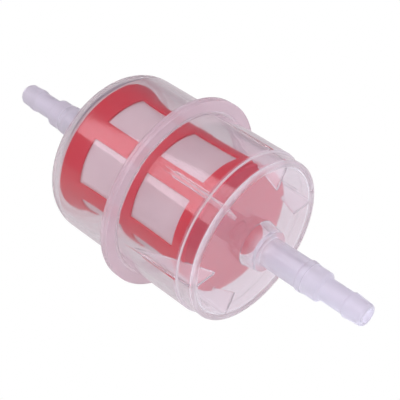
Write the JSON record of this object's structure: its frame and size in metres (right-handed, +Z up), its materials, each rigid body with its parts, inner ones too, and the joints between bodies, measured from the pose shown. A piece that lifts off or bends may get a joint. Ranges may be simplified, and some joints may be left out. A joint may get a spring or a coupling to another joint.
{
  "type": "in-line fuel filter",
  "caption": "Clear round in-line petrol filter: two welded housing halves with stepped hose stems round a red cage with mesh windows and a closed end disc.",
  "frame": {"origin": "on the filter's axis, in the joint between the two halves of the weld flange, which is the centre of the bounding box", "axes": "+X along the filter's axis towards the outlet, +Z up through the middle of a pair of mesh windows"},
  "size_m": [0.1256, 0.055, 0.055],
  "materials": {
    "clear_housing": "clear, slightly milky nylon, polished as moulded",
    "cage_red": "red nylon, satin as moulded",
    "screen_mesh": "fine woven nylon mesh, off-white"
  },
  "bodies": {
    "root": {"inlet_housing": "clear_housing", "outlet_housing": "clear_housing", "cage_frame": "cage_red", "cage_end_disc": "cage_red", "screen_inlet_1": "screen_mesh", "screen_inlet_2": "screen_mesh", "screen_inlet_3": "screen_mesh", "screen_inlet_4": "screen_mesh", "screen_inlet_5": "screen_mesh", "screen_inlet_6": "screen_mesh", "screen_outlet_1": "screen_mesh", "screen_outlet_2": "screen_mesh", "screen_outlet_3": "screen_mesh", "screen_outlet_4": "screen_mesh", "screen_outlet_5": "screen_mesh", "screen_outlet_6": "screen_mesh"}
  },
  "joints": []
}
